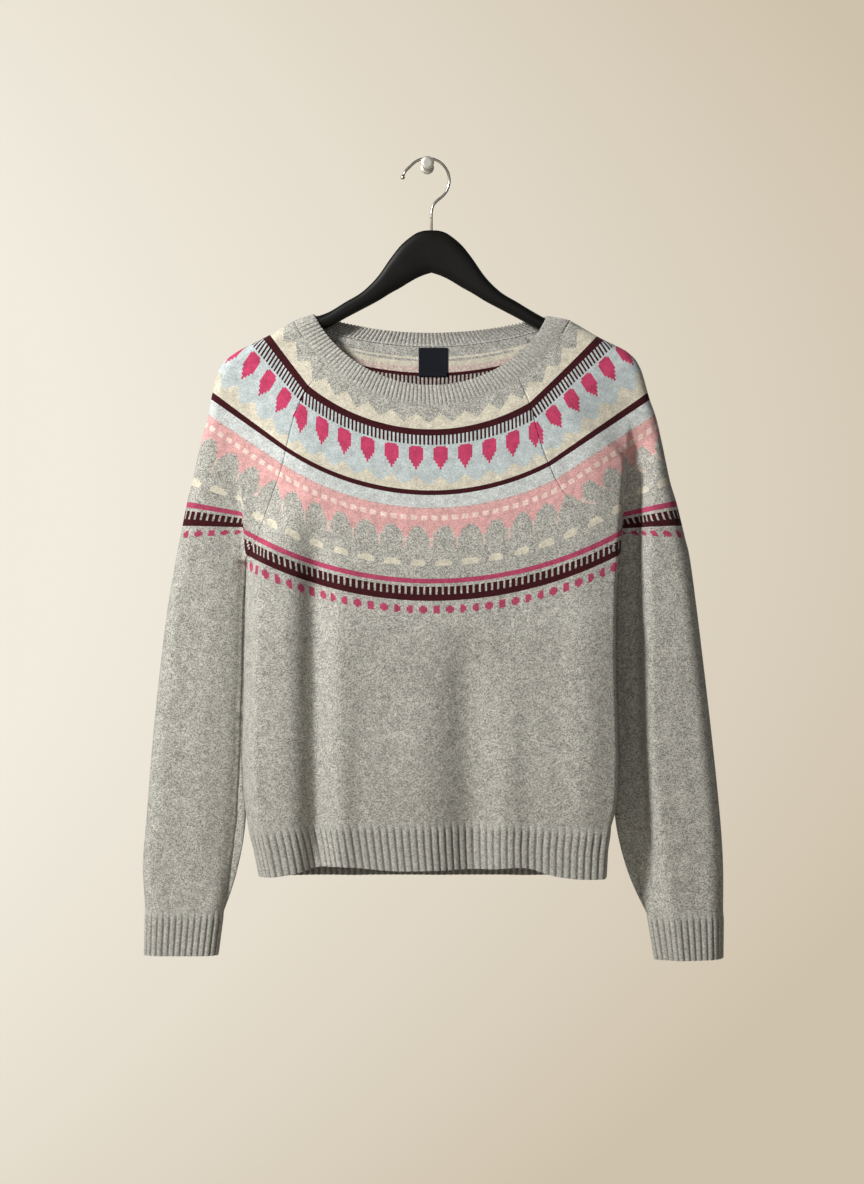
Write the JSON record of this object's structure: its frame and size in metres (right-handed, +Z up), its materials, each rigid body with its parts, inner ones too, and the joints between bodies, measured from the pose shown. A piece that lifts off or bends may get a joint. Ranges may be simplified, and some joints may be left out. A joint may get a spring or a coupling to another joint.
{
  "type": "knit top on a hanger and wall knob",
  "caption": "Long-sleeved knitted jumper with a patterned round yoke and ribbed edges, hanging open and hollow on a hanger from a wall knob.",
  "frame": {"origin": "centre of the knob's flat foot, on the wall, where the whole hangs", "axes": "+Z up; +Y into the wall, so the garment's front looks along -Y; +X to the viewer's right"},
  "size_m": [0.615, 0.0669, 0.8492],
  "materials": {
    "knit": "grey marl fine knit with a colourwork yoke",
    "rib": "grey marl ribbed knit",
    "label": "navy woven label, bare",
    "hanger": "black satin",
    "hook": "bright bent wire",
    "knob": "brushed metal"
  },
  "bodies": {
    "root": {"front": "knit", "back": "knit", "sleeve_left": "knit", "sleeve_right": "knit", "neck_band": "rib", "hem_rib_front": "rib", "hem_rib_back": "rib", "cuff_left": "rib", "cuff_right": "rib", "label": "label", "hanger": "hanger", "hook": "hook", "knob": "knob"}
  },
  "joints": []
}
